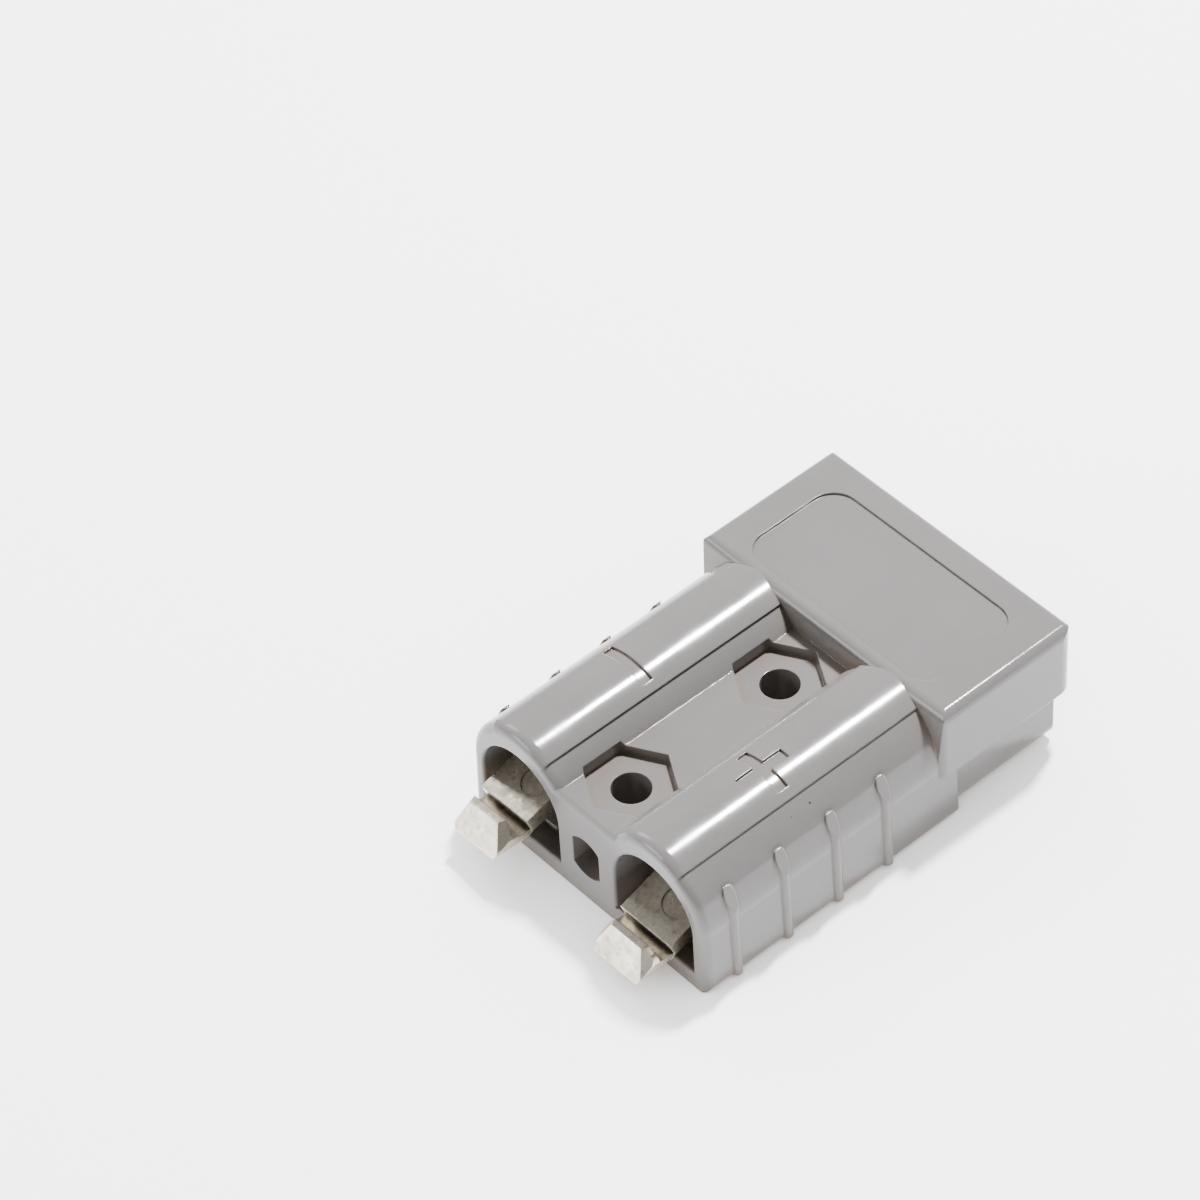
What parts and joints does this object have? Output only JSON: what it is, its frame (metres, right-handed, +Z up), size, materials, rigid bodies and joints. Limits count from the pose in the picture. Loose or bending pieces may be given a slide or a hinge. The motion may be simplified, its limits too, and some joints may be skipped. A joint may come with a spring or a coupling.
{
  "type": "genderless power connector",
  "caption": "Genderless power connector: a moulded housing with arched openings, floating silver-plated contacts with hooked noses, leaf springs, nut recesses and wire entries.",
  "frame": {"origin": "midway between the two mounting holes, on the base", "axes": "+Z up through the mounting holes, -Y towards the mating face, +X towards the positive pole"},
  "size_m": [0.037, 0.0579, 0.0165],
  "materials": {
    "housing_plastic": "gloss grey polycarbonate",
    "contact_silver": "silver plate over copper, satin",
    "spring_steel": "stainless spring strip"
  },
  "bodies": {
    "root": {"housing": "housing_plastic", "contact_positive": "contact_silver", "contact_negative": "contact_silver", "spring_positive": "spring_steel", "spring_negative": "spring_steel"}
  },
  "joints": []
}
